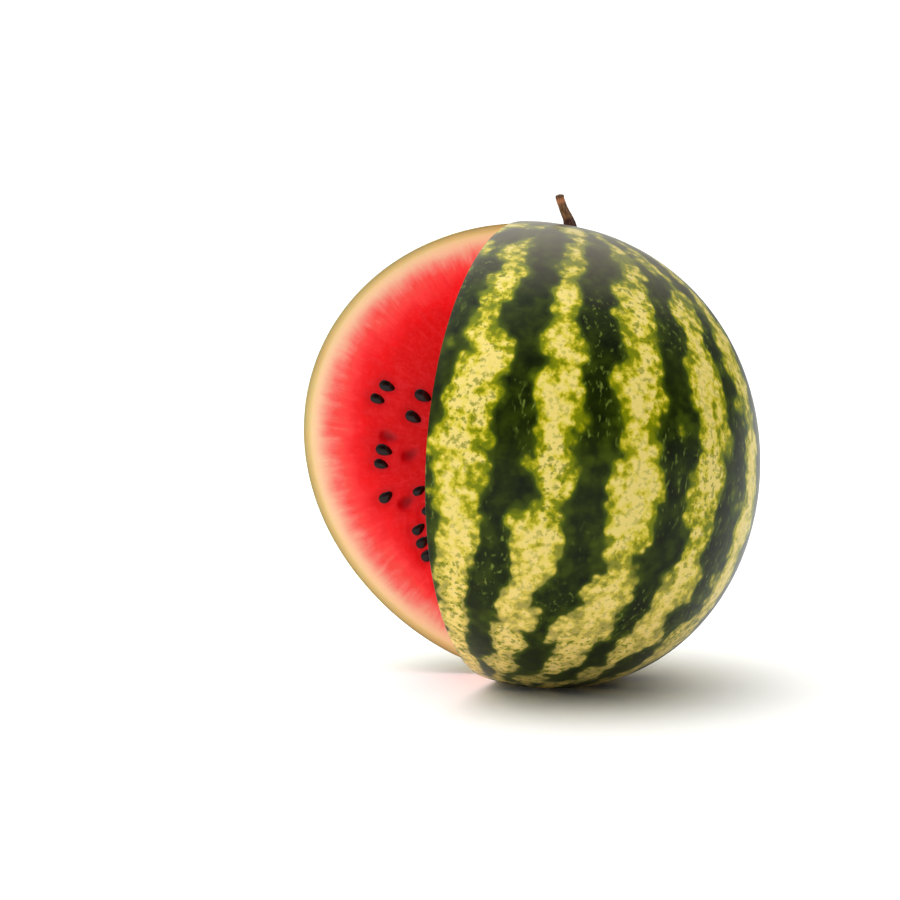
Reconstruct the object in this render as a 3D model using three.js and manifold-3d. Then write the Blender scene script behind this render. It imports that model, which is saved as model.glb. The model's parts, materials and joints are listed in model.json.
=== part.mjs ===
// A round striped watermelon with a wedge cut out of it, standing on its ground spot with its stem up.
// The fruit is one solid, with the seeds that show on its two cut faces, and the dry stem stub is
// another. Millimetres, +Z up. The opening faces -X and -Y, and the origin is on the surface that the
// fruit stands on, in the middle of its ground spot.
import * as THREE from "three";
import { mergeVertices } from "three/addons/utils/BufferGeometryUtils.js";
import Module from "manifold-3d";

// Driving dimensions of the fruit, a slightly lopsided spheroid about 248 mm tall before it settles.
// Three broad shoulders round the Y axis take it away from a plain spheroid.
const LONG_RADIUS = 127.3;
const SHORT_RADIUS = 118.9;
const DEPTH_RADIUS = 123;
const LONG_AXIS_LEAN = 38.2; // degrees, its top towards -X
const SHOULDERS = 3;
const SHOULDER_HEIGHT = 1.9;
const FIRST_SHOULDER = 42.5; // degrees from +Z towards +X
const STEM_AXIS_LEAN = 9.6; // degrees, its top towards +X
const STEM_AXIS_NOD = 4; // degrees, its top towards +Y
const GROUND_SPOT_RADIUS = 27; // the patch that a ripe fruit has lain on in the field
const MERIDIANS = 64;
const PARALLELS = 40;

// The shallow hollow that the stem stands in.
const DIMPLE_DEPTH = 1.6;
const DIMPLE_RADIUS = 10.6; // where about a third of the depth is left

// The missing wedge: two flat knife cuts that meet in a line close to the core.
const CORE_LINE_X = -5.7; // from the fruit's centre
const CORE_LINE_Y = 15;
const CORE_LINE_LEAN = 2.9; // degrees, its top towards +X
const NEAR_CUT_TURN = 22.1; // degrees from -Y towards -X; the far cut runs along -X
const CUT_REACH = 220; // far enough to leave the fruit on every side

// Seeds stand in two arcs on each cut face, each seed with its point towards the core. An arc lies at a
// share of the way from the core to the skin, and runs between two angles from the top, in degrees.
const SEED_LENGTH = 10;
const SEED_WIDTH = 6.4;
const SEED_THICKNESS = 3.4;
const SEED_TAPER = 0.28; // how much narrower the pointed end is, and wider the round end
const SEED_PROUD = 0.9; // how far a seed stands out of the cut
const SEED_SIDES = 8;
const SEED_RINGS = 6;
const FAR_FACE_ARCS = [
  { share: 0.65, count: 11, from: 64, to: 152 },
  { share: 0.49, count: 7, from: 61, to: 156 },
];
const NEAR_FACE_ARCS = [
  { share: 0.66, count: 14, from: 30, to: 152 },
  { share: 0.5, count: 8, from: 46, to: 140 },
];
const SEED_WANDER = { share: 0.05, degrees: 4, turn: 26 }; // the most that a seed strays, either way
const EMPTY_POCKET_EVERY = 4; // seeds that have dropped out
const FIRST_EMPTY_POCKET = 2;

// The stem stub, a ridged, dried stalk that leans to -X and straightens at its broken end.
const STEM_ROOT_RADIUS = 3.7;
const STEM_TIP_RADIUS = 2.2;
const STEM_FLARE = 0.33; // the share of its length in which the root narrows
const STEM_RIDGES = 5;
const STEM_RIDGE_DEPTH = 0.35;
const STEM_ROOT_DEPTH = 3; // how far the root goes down into the fruit
const STEM_SIDES = 20;
const STEM_STEPS = 14;
const STEM_LINE = [
  [0, 0, 0],
  [-1, 0, 4.6],
  [-3.9, -0.3, 11.2],
  [-5.4, -0.6, 15.6],
  [-5.9, -0.7, 18.6],
]; // from the root's middle, on the skin
const ROOT_GAP = 0.3; // clear of the fruit all round

const wasm = await Module();
wasm.setup();

const radians = THREE.MathUtils.degToRad;

// A number from -1 to 1, spread evenly over the whole numbers and the same at each run: the golden
// ratio's multiples never bunch, and each draw takes its own multiple and starting place.
const GOLDEN = 0.61803398875;
const DRAW_OFFSET = 0.37;

function scatter(index, draw) {
  const value = (index + 1) * GOLDEN * (draw + 1) + draw * DRAW_OFFSET;
  return 2 * (value - Math.floor(value)) - 1;
}

const longLean = radians(LONG_AXIS_LEAN);
const longAxis = new THREE.Vector3(-Math.sin(longLean), 0, Math.cos(longLean));
const crossAxis = new THREE.Vector3(longAxis.z, 0, -longAxis.x);
const stemAxis = new THREE.Vector3(
  Math.tan(radians(STEM_AXIS_LEAN)),
  Math.tan(radians(STEM_AXIS_NOD)),
  1,
).normalize();

// Distance from the fruit's centre to its skin in a direction of length 1.
function skinRadius(direction) {
  const alongLong = direction.dot(longAxis) / LONG_RADIUS;
  const alongCross = direction.dot(crossAxis) / SHORT_RADIUS;
  const spheroid = 1 / Math.hypot(alongLong, alongCross, direction.y / DEPTH_RADIUS);
  const turn = Math.atan2(direction.x, direction.z) - radians(FIRST_SHOULDER);
  const fading = Math.hypot(direction.x, direction.z) ** SHOULDERS;
  const shoulders = SHOULDER_HEIGHT * fading * Math.cos(SHOULDERS * turn);
  const fromStem = direction.angleTo(stemAxis) * spheroid;
  return spheroid + shoulders - DIMPLE_DEPTH * Math.exp(-((fromStem / DIMPLE_RADIUS) ** 2));
}

// The skin's lowest point below the centre, found in small steps to either side of straight down.
const LOWEST_WITHIN = 20; // degrees
const LOWEST_STEP = 0.05;

function lowestPoint() {
  const lowest = new THREE.Vector3();
  for (let turn = -LOWEST_WITHIN; turn <= LOWEST_WITHIN; turn += LOWEST_STEP) {
    const spot = new THREE.Vector3(Math.sin(radians(turn)), 0, -Math.cos(radians(turn)));
    spot.multiplyScalar(skinRadius(spot));
    if (spot.z < lowest.z) {
      lowest.copy(spot);
    }
  }
  return lowest;
}

// The centre lies above the ground spot, which takes the lowest part of the skin away.
const lowest = lowestPoint();
const groundSag = SHORT_RADIUS * (1 - Math.sqrt(1 - (GROUND_SPOT_RADIUS / SHORT_RADIUS) ** 2));
const fruitCentre = new THREE.Vector3(-lowest.x * (1 + groundSag / lowest.z), 0, -lowest.z - groundSag);

// A closed geometry as a solid, and back.
const MERGE_WITHIN = 1e-4;

function solidOf(geometry) {
  const plain = geometry.clone();
  plain.deleteAttribute("normal");
  plain.deleteAttribute("uv");
  const merged = mergeVertices(plain, MERGE_WITHIN);
  return new wasm.Manifold(
    new wasm.Mesh({
      numProp: 3,
      vertProperties: merged.getAttribute("position").array,
      triVerts: new Uint32Array(merged.index.array),
    }),
  );
}

function geometryOf(solid) {
  const mesh = solid.getMesh();
  const geometry = new THREE.BufferGeometry();
  geometry.setAttribute("position", new THREE.BufferAttribute(mesh.vertProperties, 3));
  geometry.setIndex(new THREE.BufferAttribute(mesh.triVerts, 1));
  geometry.computeVertexNormals();
  return geometry;
}

// Moves every vertex of a geometry by a function of its place.
function reshape(geometry, move) {
  const place = geometry.getAttribute("position");
  const point = new THREE.Vector3();
  for (let i = 0; i < place.count; i += 1) {
    move(point.fromBufferAttribute(place, i));
    place.setXYZ(i, point.x, point.y, point.z);
  }
  return geometry;
}

// The uncut fruit: a globe with its poles on the stem axis, each vertex pushed out to the skin.
function wholeFruit() {
  const toStemAxis = new THREE.Quaternion().setFromUnitVectors(new THREE.Vector3(0, 1, 0), stemAxis);
  const globe = new THREE.SphereGeometry(1, MERIDIANS, PARALLELS);
  return reshape(globe, (point) => {
    point.normalize().applyQuaternion(toStemAxis);
    point.multiplyScalar(skinRadius(point)).add(fruitCentre);
  });
}

// The wedge that was taken out, as a long three-cornered bar that leans with the core line.
function missingWedge() {
  const outline = new THREE.Shape([
    new THREE.Vector2(0, 0),
    new THREE.Vector2(-CUT_REACH, 0),
    new THREE.Vector2(-CUT_REACH, -CUT_REACH),
    new THREE.Vector2(-CUT_REACH * Math.tan(radians(NEAR_CUT_TURN)), -CUT_REACH),
  ]);
  const bar = new THREE.ExtrudeGeometry(outline, { depth: 2 * CUT_REACH, bevelEnabled: false });
  bar.translate(0, 0, -CUT_REACH);
  return reshape(bar, (point) => {
    point.x += CORE_LINE_X + point.z * Math.tan(radians(CORE_LINE_LEAN));
    point.y += CORE_LINE_Y;
    point.add(fruitCentre);
  });
}

// The two cut faces. Each is described from the core line at mid height: out is level, towards the
// rind, up runs along the core line, and clear points into the missing wedge.
const coreUp = new THREE.Vector3(Math.tan(radians(CORE_LINE_LEAN)), 0, 1).normalize();
const coreMiddle = fruitCentre.clone().add(new THREE.Vector3(CORE_LINE_X, CORE_LINE_Y, 0));

function cutFace(turn, clearSide, arcs) {
  const out = new THREE.Vector3(-Math.sin(radians(turn)), -Math.cos(radians(turn)), 0);
  const clear = new THREE.Vector3().crossVectors(coreUp, out).normalize().multiplyScalar(clearSide);
  return { out, clear, arcs };
}

const cutFaces = [cutFace(90, 1, FAR_FACE_ARCS), cutFace(NEAR_CUT_TURN, -1, NEAR_FACE_ARCS)];

// The way from the core line's middle to the skin, in a direction that lies in a cut face. Each pass
// corrects it by what the point reached so far lacks to the skin.
const REACH_PASSES = 6;

function reachToSkin(direction) {
  let reach = SHORT_RADIUS;
  const fromCentre = new THREE.Vector3();
  for (let pass = 0; pass < REACH_PASSES; pass += 1) {
    fromCentre.copy(coreMiddle).addScaledVector(direction, reach).sub(fruitCentre);
    const apart = fromCentre.length();
    reach += skinRadius(fromCentre.normalize()) - apart;
  }
  return reach;
}

// Where each seed of a cut face lies, how it is turned, and whether it has dropped out of its pocket.
// An arc takes three draws from scatter, numbered on from those of the arcs before it.
function seedPlaces(face, faceIndex) {
  const places = [];
  face.arcs.forEach((arc, arcIndex) => {
    const draw = 3 * (face.arcs.length * faceIndex + arcIndex);
    const step = (arc.to - arc.from) / (arc.count - 1);
    for (let i = 0; i < arc.count; i += 1) {
      const angle = radians(arc.from + step * i + SEED_WANDER.degrees * scatter(i, draw));
      const share = arc.share + SEED_WANDER.share * scatter(i, draw + 1);
      const turn = radians(SEED_WANDER.turn * scatter(i, draw + 2));
      const direction = coreUp.clone().multiplyScalar(Math.cos(angle));
      direction.addScaledVector(face.out, Math.sin(angle)).normalize();
      const middle = coreMiddle.clone().addScaledVector(direction, share * reachToSkin(direction));
      const point = direction.clone().applyAxisAngle(face.clear, turn).negate();
      const empty = (i + faceIndex) % EMPTY_POCKET_EVERY === FIRST_EMPTY_POCKET;
      places.push({ middle, point, clear: face.clear, empty });
    }
  });
  return places;
}

// A flat drop with its narrow end along point, its broad side in the cut, and its middle raised by lift.
function seedSolid({ middle, point, clear }, lift) {
  const across = new THREE.Vector3().crossVectors(point, clear).normalize();
  const drop = reshape(new THREE.SphereGeometry(1, SEED_SIDES, SEED_RINGS), (spot) => {
    const side = (spot.x * (1 - SEED_TAPER * spot.y) * SEED_WIDTH) / 2;
    const along = (spot.y * SEED_LENGTH) / 2;
    const high = (spot.z * SEED_THICKNESS) / 2 + lift;
    spot.copy(middle).addScaledVector(across, side);
    spot.addScaledVector(point, along).addScaledVector(clear, high);
  });
  return solidOf(drop);
}

// The stem stub: a cylinder bent along its line, tapered and ridged.
const stemRoot = fruitCentre.clone().addScaledVector(stemAxis, skinRadius(stemAxis));
const stemLine = new THREE.CatmullRomCurve3([
  stemAxis.clone().multiplyScalar(-STEM_ROOT_DEPTH),
  ...STEM_LINE.map((spot) => new THREE.Vector3(...spot)),
]);

function stemGeometry() {
  const stick = new THREE.CylinderGeometry(1, 1, 1, STEM_SIDES, STEM_STEPS);
  return reshape(stick, (point) => {
    const along = point.y + 0.5;
    const round = Math.atan2(point.z, point.x);
    const flare = Math.exp(-((along / STEM_FLARE) ** 2));
    const taper = STEM_TIP_RADIUS + (STEM_ROOT_RADIUS - STEM_TIP_RADIUS) * flare;
    const ridged = taper + STEM_RIDGE_DEPTH * Math.cos(STEM_RIDGES * round);
    const radius = Math.hypot(point.x, point.z) * ridged;
    const tangent = stemLine.getTangentAt(along);
    const side = new THREE.Vector3().crossVectors(new THREE.Vector3(0, 1, 0), tangent).normalize();
    const front = new THREE.Vector3().crossVectors(tangent, side);
    point.copy(stemLine.getPointAt(along)).add(stemRoot);
    point.addScaledVector(side, radius * Math.cos(round)).addScaledVector(front, -radius * Math.sin(round));
  });
}

// The plain hole that the stem's root stands in.
function stemSocket() {
  const radius = STEM_ROOT_RADIUS + STEM_RIDGE_DEPTH + ROOT_GAP;
  const depth = STEM_ROOT_DEPTH + ROOT_GAP;
  const hole = new THREE.CylinderGeometry(radius, radius, 2 * depth, STEM_SIDES);
  hole.applyQuaternion(new THREE.Quaternion().setFromUnitVectors(new THREE.Vector3(0, 1, 0), stemAxis));
  return hole.translate(stemRoot.x, stemRoot.y, stemRoot.z);
}

// Everything below the surface that the fruit stands on.
function groundBlock() {
  const block = new THREE.BoxGeometry(2 * CUT_REACH, 2 * CUT_REACH, CUT_REACH);
  return block.translate(0, 0, -CUT_REACH / 2);
}

function cutFruit() {
  let fruit = solidOf(wholeFruit());
  for (const tool of [groundBlock(), missingWedge(), stemSocket()]) {
    fruit = fruit.subtract(solidOf(tool));
  }
  cutFaces.forEach((face, faceIndex) => {
    for (const place of seedPlaces(face, faceIndex)) {
      fruit = place.empty
        ? fruit.subtract(seedSolid(place, 0))
        : fruit.add(seedSolid(place, SEED_PROUD - SEED_THICKNESS / 2));
    }
  });
  return geometryOf(fruit);
}

function piece(name, geometry, color, roughness) {
  const mesh = new THREE.Mesh(geometry, new THREE.MeshStandardMaterial({ color, roughness, metalness: 0 }));
  mesh.name = name;
  return mesh;
}

const watermelon = new THREE.Group();
watermelon.add(piece("fruit", cutFruit(), 0x4f7a22, 0.45));
watermelon.add(piece("stem", stemGeometry(), 0x5b3a22, 0.9));

export default watermelon;
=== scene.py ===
# %% [markdown]
# A round striped watermelon with a wedge cut out of it, dressed around its solid model. The lesson goes
# from the frame and the camera, over the shape of the fruit, its seeds and its stem, to the finishes
# of skin, flesh, seed coat and dry stalk, and ends with a plain studio.

# %% The frame
import json
import math

import bpy
import numpy as np
from mathutils import Matrix, Vector, noise

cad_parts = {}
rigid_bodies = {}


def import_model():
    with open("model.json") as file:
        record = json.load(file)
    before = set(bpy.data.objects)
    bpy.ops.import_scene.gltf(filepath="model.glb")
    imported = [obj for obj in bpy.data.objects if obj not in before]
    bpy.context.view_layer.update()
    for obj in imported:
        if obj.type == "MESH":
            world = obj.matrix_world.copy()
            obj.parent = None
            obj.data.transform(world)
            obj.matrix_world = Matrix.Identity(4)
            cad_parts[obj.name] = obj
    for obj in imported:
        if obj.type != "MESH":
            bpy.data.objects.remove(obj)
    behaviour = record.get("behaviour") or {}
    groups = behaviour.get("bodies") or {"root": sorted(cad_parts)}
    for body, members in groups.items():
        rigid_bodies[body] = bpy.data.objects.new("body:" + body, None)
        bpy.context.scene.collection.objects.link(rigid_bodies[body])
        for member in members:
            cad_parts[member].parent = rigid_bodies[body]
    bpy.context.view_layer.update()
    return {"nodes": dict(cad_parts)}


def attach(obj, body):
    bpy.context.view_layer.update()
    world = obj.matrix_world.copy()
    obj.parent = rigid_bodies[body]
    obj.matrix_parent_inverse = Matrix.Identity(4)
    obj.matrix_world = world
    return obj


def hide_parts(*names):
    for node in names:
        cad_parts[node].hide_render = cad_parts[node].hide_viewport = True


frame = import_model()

print("solid parts:", sorted(frame["nodes"]))

# %% [markdown]
# Blender counts in metres, but a fruit is easier to think of in millimetres. So every size below is in
# millimetres, and a mesh is brought to metres at the moment that it is made. These are the sizes of
# the solid model: a slightly lopsided spheroid that leans a little and has settled on its ground spot.

# %% Sizes of the fruit, in millimetres
MM = 0.001
LONG_RADIUS = 127.3
SHORT_RADIUS = 118.9
DEPTH_RADIUS = 123.0
LONG_AXIS_LEAN = math.radians(38.2)  # its top towards -X
SHOULDERS = 3
SHOULDER_HEIGHT = 1.9
FIRST_SHOULDER = math.radians(42.5)  # from +Z towards +X
STEM_AXIS_LEAN = math.radians(9.6)  # its top towards +X
STEM_AXIS_NOD = math.radians(4.0)  # its top towards +Y
GROUND_SPOT_RADIUS = 27.0
DIMPLE_DEPTH = 1.6
DIMPLE_RADIUS = 10.6
CORE_LINE_PLACE = np.array([-5.7, 15.0, 0.0])  # from the fruit's centre
CORE_LINE_LEAN = math.radians(2.9)  # its top towards +X
FAR_CUT_TURN = math.radians(90.0)  # from -Y towards -X
NEAR_CUT_TURN = math.radians(22.1)


def unit(vector):
    """A vector, or each of an array of vectors, made 1 long."""
    return vector / np.linalg.norm(vector, axis=-1, keepdims=True)


long_axis = np.array([-math.sin(LONG_AXIS_LEAN), 0.0, math.cos(LONG_AXIS_LEAN)])
cross_axis = np.array([long_axis[2], 0.0, -long_axis[0]])
stem_axis = unit(np.array([math.tan(STEM_AXIS_LEAN), math.tan(STEM_AXIS_NOD), 1.0]))
core_up = unit(np.array([math.tan(CORE_LINE_LEAN), 0.0, 1.0]))

# %% [markdown]
# The skin is a rule rather than a sculpture: for any direction from the fruit's centre, this function
# says how far away the skin is. A spheroid gives the body, three broad shoulders make it a little
# lopsided, and a small bell-shaped dip makes the hollow that the stem stands in. The same rule finds
# the lowest point, and the fruit's centre follows from it: the ground spot takes the lowest
# few millimetres away.

# %% Where the skin is
def skin_radius(direction):
    """Distance from the fruit's centre to its skin, for unit directions."""
    along_long = direction @ long_axis / LONG_RADIUS
    along_cross = direction @ cross_axis / SHORT_RADIUS
    spheroid = 1 / np.sqrt(along_long**2 + along_cross**2 + (direction[..., 1] / DEPTH_RADIUS) ** 2)
    turn = np.arctan2(direction[..., 0], direction[..., 2]) - FIRST_SHOULDER
    fading = np.hypot(direction[..., 0], direction[..., 2]) ** SHOULDERS
    shoulders = SHOULDER_HEIGHT * fading * np.cos(SHOULDERS * turn)
    from_stem = np.arccos(np.clip(direction @ stem_axis, -1, 1)) * spheroid
    return spheroid + shoulders - DIMPLE_DEPTH * np.exp(-((from_stem / DIMPLE_RADIUS) ** 2))


down_turns = np.radians(np.linspace(-20, 20, 801))
downwards = np.stack([np.sin(down_turns), np.zeros_like(down_turns), -np.cos(down_turns)], axis=-1)
lower_skin = downwards * skin_radius(downwards)[:, None]
lowest = lower_skin[lower_skin[:, 2].argmin()]
ground_sag = SHORT_RADIUS * (1 - math.sqrt(1 - (GROUND_SPOT_RADIUS / SHORT_RADIUS) ** 2))
fruit_centre = np.array([-lowest[0] * (1 + ground_sag / lowest[2]), 0.0, -lowest[2] - ground_sag])
core_middle = fruit_centre + CORE_LINE_PLACE
print("the fruit's centre is at", fruit_centre.round(2), "mm")

# %% [markdown]
# The camera comes next, because every later choice is judged through it. It is a long lens about
# 1.2 metres away and a little above the fruit's middle, looking down by five degrees.

# %% The camera
CAMERA_LENS = 90.0
CAMERA_FROM_FRUIT = Vector((-43.9, -1195.0, 105.8))
CAMERA_TILT = math.radians(5.0)

camera_data = bpy.data.cameras.new("long_lens")
camera_data.lens = CAMERA_LENS
camera = bpy.data.objects.new("long_lens", camera_data)
camera.location = (Vector(fruit_centre) + CAMERA_FROM_FRUIT) * MM
camera.rotation_euler = (math.pi / 2 - CAMERA_TILT, 0.0, 0.0)
bpy.context.scene.collection.objects.link(camera)
bpy.context.scene.camera = camera
print("camera at", tuple(round(value, 3) for value in camera.location))

# %% [markdown]
# The cuts and the seeds need two more measures of the same skin: how far it is from the core, and how
# deep a point lies under it.

# %% From the core to the skin
REACH_PASSES = 6


def reach_to_skin(direction):
    """Distance from the middle of the core line to the skin, for unit directions."""
    reach = np.full(direction.shape[:-1], SHORT_RADIUS)
    for _ in range(REACH_PASSES):
        from_centre = core_middle + direction * reach[..., None] - fruit_centre
        apart = np.linalg.norm(from_centre, axis=-1)
        reach = reach + skin_radius(from_centre / apart[..., None]) - apart
    return reach


def under_skin(points):
    """How deep points lie under the skin."""
    from_centre = points - fruit_centre
    apart = np.linalg.norm(from_centre, axis=-1)
    return skin_radius(from_centre / apart[..., None]) - apart


print("skin from the centre, along the stem:", skin_radius(stem_axis).round(2), "mm")

# %% [markdown]
# Seeds grow in arcs between the core and the rind, each with its pointed end to the core. They are
# placed by the same rule as in the solid model, with its evenly scattered numbers, so that both
# agree seed for seed. Every fourth seed has dropped out and left its pocket.

# %% Where the seeds are
SEED_LENGTH = 10.0
SEED_WIDTH = 6.4
SEED_THICKNESS = 3.4
SEED_TAPER = 0.28
SEED_PROUD = 0.9
FAR_FACE_ARCS = [
    {"share": 0.65, "count": 11, "from": 64, "to": 152},
    {"share": 0.49, "count": 7, "from": 61, "to": 156},
]
NEAR_FACE_ARCS = [
    {"share": 0.66, "count": 14, "from": 30, "to": 152},
    {"share": 0.5, "count": 8, "from": 46, "to": 140},
]
SEED_WANDER = {"share": 0.05, "degrees": 4.0, "turn": 26.0}
EMPTY_POCKET_EVERY = 4
FIRST_EMPTY_POCKET = 2
GOLDEN = 0.61803398875
DRAW_OFFSET = 0.37


def scatter(index, draw):
    """A number from -1 to 1, spread evenly over the whole numbers and the same at each run."""
    value = (index + 1) * GOLDEN * (draw + 1) + draw * DRAW_OFFSET
    return 2 * (value - math.floor(value)) - 1


def cut_face(turn, clear_side, arcs):
    """A knife cut: out is level and points to the rind, clear points into the missing wedge."""
    out = np.array([-math.sin(turn), -math.cos(turn), 0.0])
    return {"out": out, "clear": unit(np.cross(core_up, out)) * clear_side, "arcs": arcs}


cut_faces = [cut_face(FAR_CUT_TURN, 1, FAR_FACE_ARCS), cut_face(NEAR_CUT_TURN, -1, NEAR_FACE_ARCS)]


def seed_places(face, face_index):
    """Each seed's middle, the way its point looks, and whether it has dropped out."""
    places = []
    for arc_index, arc in enumerate(face["arcs"]):
        draw = 3 * (len(face["arcs"]) * face_index + arc_index)
        step = (arc["to"] - arc["from"]) / (arc["count"] - 1)
        for i in range(arc["count"]):
            angle = math.radians(arc["from"] + step * i + SEED_WANDER["degrees"] * scatter(i, draw))
            share = arc["share"] + SEED_WANDER["share"] * scatter(i, draw + 1)
            turn = math.radians(SEED_WANDER["turn"] * scatter(i, draw + 2))
            direction = unit(core_up * math.cos(angle) + face["out"] * math.sin(angle))
            middle = core_middle + direction * share * reach_to_skin(direction)
            point = -(Matrix.Rotation(turn, 3, Vector(face["clear"])) @ Vector(direction))
            empty = (i + face_index) % EMPTY_POCKET_EVERY == FIRST_EMPTY_POCKET
            seed = {"middle": middle, "point": np.array(point), "clear": face["clear"], "empty": empty}
            places.append(seed)
    return places


for index, face in enumerate(cut_faces):
    face["seeds"] = seed_places(face, index)
    print("seed places on cut", index, ":", len(face["seeds"]))

# %% [markdown]
# The fruit is one closed skin of quads. Its rows run from the top of the core line to the bottom. Its
# columns turn about the core line from one knife cut round the back to the other, and then lie
# across each cut face from the rim to the core line. A cube or a sphere cut by a Boolean would leave
# long thin triangles just where the flesh needs fine relief, so the grid is laid out.
#
# Two close columns on either side of the rim turn the knife edge into a soft one.

# %% The grid of the fruit
ROWS = 264
SKIN_COLUMNS = 124
FACE_COLUMNS = 112
EDGE_SOFTNESS = 0.8
EDGE_DROP = 0.22
SETTLE = 0.8  # how softly the ground spot runs into the round of the fruit

rows = np.linspace(0, math.pi, ROWS + 1)[1:-1]
round_the_back = math.tau - FAR_CUT_TURN + NEAR_CUT_TURN
edge_turn = EDGE_SOFTNESS / SHORT_RADIUS
skin_turns = np.linspace(edge_turn, round_the_back - edge_turn, SKIN_COLUMNS)
turns = np.concatenate([[0.0], skin_turns, [round_the_back]])


def settled(points):
    """Points of the skin with their lowest ones pressed softly flat at z = 0."""
    height = points[..., 2]
    pressed = (height + np.sqrt(height**2 + SETTLE**2)) / 2
    inwards = (core_middle[2] - pressed) / (core_middle[2] - height)
    flat = core_middle + (points - core_middle) * inwards[..., None]
    return np.where((height < 4 * SETTLE)[..., None], flat, points)


def skin_points(row_angles, column_turns):
    """Points of the skin for angles from the top and turns on from the far cut."""
    turn = FAR_CUT_TURN + column_turns
    out = np.stack([-np.sin(turn), -np.cos(turn), np.zeros_like(turn)], axis=-1)
    direction = unit(np.cos(row_angles)[:, None, None] * core_up + np.sin(row_angles)[:, None, None] * out)
    return settled(core_middle + direction * reach_to_skin(direction)[..., None])


skin = skin_points(rows, turns)
top_end = settled(core_middle + core_up * reach_to_skin(core_up[None])[0])
bottom_end = settled(core_middle - core_up * reach_to_skin(-core_up[None])[0])
core_shares = (1 - np.cos(rows)) / 2
core_line = top_end + (bottom_end - top_end) * core_shares[:, None]
print("skin grid", skin.shape, "from", bottom_end.round(1), "to", top_end.round(1))

# %% [markdown]
# Cut flesh isn't flat. It is grainy, because the knife tears its large juicy cells, it shrinks back a
# little round each seed, and it has a pocket where a seed has gone. The pale rind is firm and cuts
# smooth. All of that is moved into the grid here, so that it is there in the mesh as well.

# %% Relief of the cut flesh
GRAIN_SIZES = {6.5: 0.24, 2.6: 0.16}  # size of the lumps, and how far they stand out
SLOW_SWELL = {38.0: 0.5}
RIND_THICKNESS = 10.0
RIND_GRAIN = 0.15
POCKET_DEPTH = 1.7
MOAT_DEPTH = 0.35
SEED_SHADE_REACH = 0.55


def lumps(points, sizes, seed):
    """Noise of the given lump sizes at each point, in millimetres of height."""
    height = np.zeros(len(points))
    for size, tall in sizes.items():
        offset = Vector((seed, seed * 2.0, seed * 3.0))
        height += [tall * noise.noise(Vector(point) / size + offset) for point in points]
    return height


def near_seeds(points, face):
    """For each point its distance from the nearest seed and pocket, where 1 is the seed's outline."""
    nearest = {False: np.full(len(points), 9.0), True: np.full(len(points), 9.0)}
    for seed in face["seeds"]:
        across = np.cross(seed["point"], seed["clear"])
        along = (points - seed["middle"]) @ seed["point"] / (SEED_LENGTH / 2)
        beside = (points - seed["middle"]) @ across / (SEED_WIDTH / 2)
        beside = beside / (1 - SEED_TAPER * np.clip(along, -1, 1))
        nearest[seed["empty"]] = np.minimum(nearest[seed["empty"]], np.hypot(along, beside))
    return nearest[False], nearest[True]


def face_points(face, rim):
    """A cut face from its rim to the core line, with its relief and what the finish needs to know."""
    length = np.linalg.norm(rim - core_line, axis=-1)
    first = np.minimum(EDGE_SOFTNESS / length, 0.3)
    shares = np.linspace(first, 1, FACE_COLUMNS, axis=1)[:, :-1]
    points = rim[:, None] + (core_line - rim)[:, None] * shares[..., None]
    flat = points.reshape(-1, 3)
    depth = under_skin(flat)
    seed_gap, pocket_gap = near_seeds(flat, face)
    fleshy = RIND_GRAIN + (1 - RIND_GRAIN) * np.clip((depth - RIND_THICKNESS) / RIND_THICKNESS, 0, 1)
    from_core = np.clip((1 - shares.ravel()) * 8, 0, 1)
    from_rim = np.clip(depth / 4, 0, 1)
    height = lumps(flat, GRAIN_SIZES, 1.7) * fleshy + lumps(flat, SLOW_SWELL, 5.3)
    height = height * from_core * from_rim
    height -= MOAT_DEPTH * np.exp(-(((seed_gap - 1.05) / 0.3) ** 2))
    height -= POCKET_DEPTH * np.sqrt(np.clip(1 - pocket_gap**2, 0, 1))
    flat = flat + face["clear"] * height[:, None]
    # Masks for painted shade: round each seed and its moat, and inside each empty pocket.
    painted_seed_shade = np.exp(-np.clip(np.minimum(seed_gap, pocket_gap) - 1, 0, 9) / SEED_SHADE_REACH)
    painted_pocket_shade = np.clip(1.15 - pocket_gap, 0, 1)
    return flat.reshape(points.shape), {"depth": depth, "painted_seed_shade": painted_seed_shade, "painted_pocket_shade": painted_pocket_shade}


# %% [markdown]
# The rows of skin, far face and near face are joined into one mesh. They share the vertices of the
# rims, of the core line and of its two ends, so that the mesh is closed without any merging by
# distance. First come the vertices, each with a number.

# %% The body's vertices
def soften_edges(grid):
    """Draws the skin's first and last columns, which are the rims, in from both sides of the edge."""
    for column, face in ((0, cut_faces[0]), (-1, cut_faces[1])):
        outward = unit(grid[:, column] - fruit_centre)
        grid[:, column] -= EDGE_DROP * (outward + face["clear"])
    return grid


rims = [skin[:, 0].copy(), skin[:, -1].copy()]
skin = soften_edges(skin)
faces_made = [face_points(face, rim) for face, rim in zip(cut_faces, rims)]

blocks = [skin, core_line[:, None], faces_made[0][0], faces_made[1][0]]
numbers = []
start = 2  # after the two ends of the core line
for block in blocks:
    count = block.shape[0] * block.shape[1]
    numbers.append(np.arange(start, start + count).reshape(block.shape[:2]))
    start += count
skin_ids, core_ids, far_ids, near_ids = numbers
vertices = np.vstack([top_end, bottom_end, *[block.reshape(-1, 3) for block in blocks]])
print("vertices of the body:", len(vertices))

# %% [markdown]
# Then the columns of numbers are walked through in order, and each pair of neighbours is joined by a
# strip of quads. The strip is closed by a triangle at either end. Every face turns the same way round,
# so that all of them look outwards.

# %% The body's faces
TOP, BOTTOM = 0, 1


def strip_quads(left, right):
    """Quads between two columns of vertex numbers, which face outwards, and a triangle at each end."""
    quads = [(left[i], right[i], right[i + 1], left[i + 1]) for i in range(len(left) - 1)]
    return [(TOP, right[0], left[0]), *quads, (BOTTOM, left[-1], right[-1])]


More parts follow.
